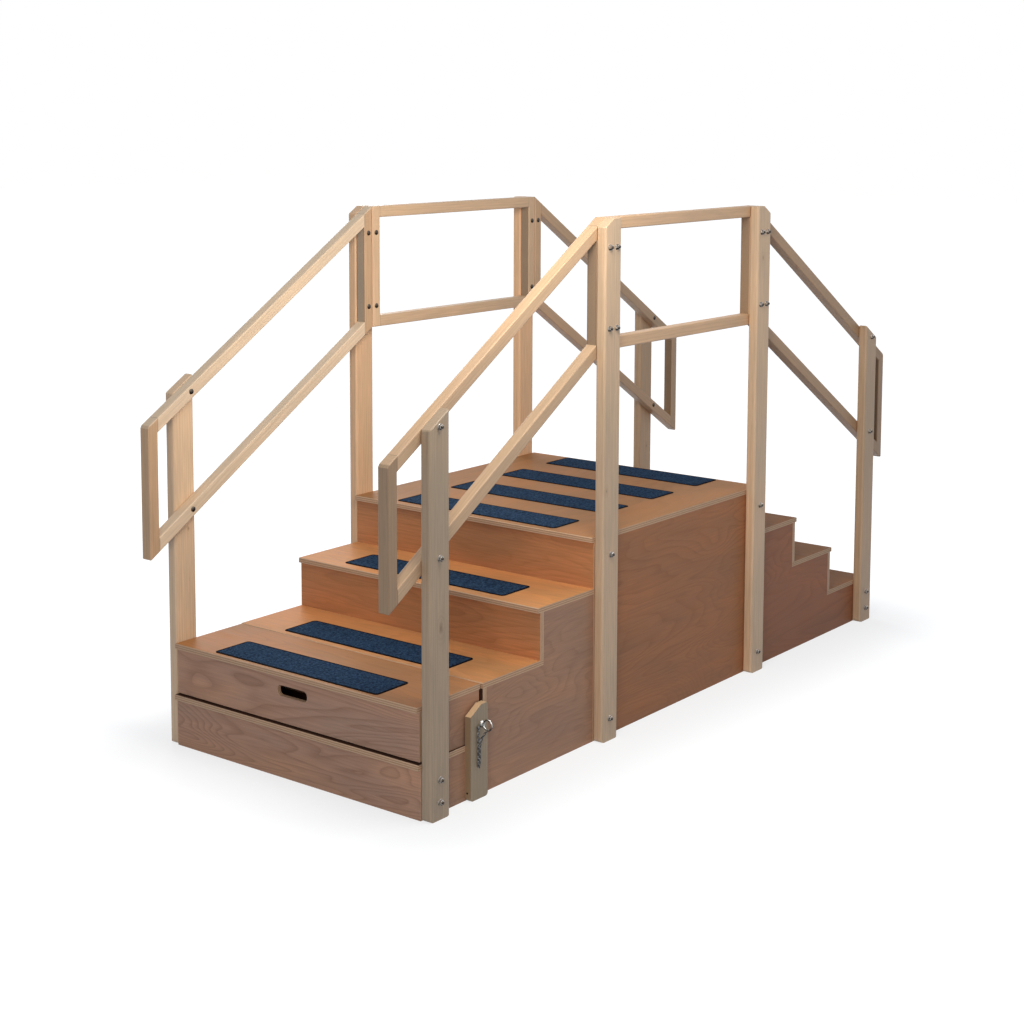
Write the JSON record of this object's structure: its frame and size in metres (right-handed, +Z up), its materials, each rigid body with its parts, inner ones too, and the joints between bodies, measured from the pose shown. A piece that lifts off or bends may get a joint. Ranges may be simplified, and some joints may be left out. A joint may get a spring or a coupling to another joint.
{
  "type": "physiotherapy training stairs",
  "caption": "Wooden training stairs for walking practice: flights up and down either side of a platform, a pull-out box on the boarding step, anti-slip strips and open handrails.",
  "frame": {"origin": "on the floor, under the middle of the whole length and width", "axes": "+X along the stairs, away from the boarding end with the pull-out box; +Z up"},
  "size_m": [2.666, 1.028, 1.508],
  "materials": {
    "side_ply": "satin lacquer",
    "tread_ply": "satin lacquer",
    "hardwood": "satin lacquer",
    "grip": "gritty, matt",
    "plated_steel": "bright"
  },
  "bodies": {
    "stairs": {"base_front_panel": "side_ply", "base_back_panel": "side_ply", "base_side_near": "side_ply", "base_side_far": "side_ply", "left_side_near": "side_ply", "left_side_far": "side_ply", "right_side_near": "side_ply", "right_side_far": "side_ply", "platform_side_near": "side_ply", "platform_side_far": "side_ply", "platform_end_left": "side_ply", "platform_end_right": "side_ply", "left_riser_1": "side_ply", "left_riser_2": "side_ply", "right_riser_1": "side_ply", "right_riser_2": "side_ply", "right_riser_3": "side_ply", "base_top_board": "tread_ply", "left_tread_1": "tread_ply", "left_tread_2": "tread_ply", "platform_deck": "tread_ply", "right_tread_1": "tread_ply", "right_tread_2": "tread_ply", "right_tread_3": "tread_ply", "post_near_1": "hardwood", "post_near_2": "hardwood", "post_near_3": "hardwood", "post_near_4": "hardwood", "post_far_1": "hardwood", "post_far_2": "hardwood", "post_far_3": "hardwood", "post_far_4": "hardwood", "handrail_near_left": "hardwood", "handrail_near_middle": "hardwood", "handrail_near_right": "hardwood", "handrail_far_left": "hardwood", "handrail_far_middle": "hardwood", "handrail_far_right": "hardwood", "latch_blocks": "hardwood", "left_grip_strips": "grip", "platform_grip_strips": "grip", "right_grip_strips": "grip", "keeper_chains": "plated_steel"},
    "pull_box": {"box_top_board": "tread_ply", "box_front_panel": "side_ply", "box_back_panel": "side_ply", "box_side_near": "side_ply", "box_side_far": "side_ply", "box_grip_strip": "grip"},
    "pin_near": {"pull_pin_near": "plated_steel"},
    "pin_far": {"pull_pin_far": "plated_steel"}
  },
  "joints": [
    {"name": "box_slide", "type": "slide", "parent": "stairs", "child": "pull_box", "axis": [-1, 0, 0], "range_m": [0, 0.25]},
    {"name": "pin_near_pull", "type": "slide", "parent": "stairs", "child": "pin_near", "axis": [0, -1, 0], "range_m": [0, 0.03]},
    {"name": "pin_far_pull", "type": "slide", "parent": "stairs", "child": "pin_far", "axis": [0, 1, 0], "range_m": [0, 0.03]}
  ]
}
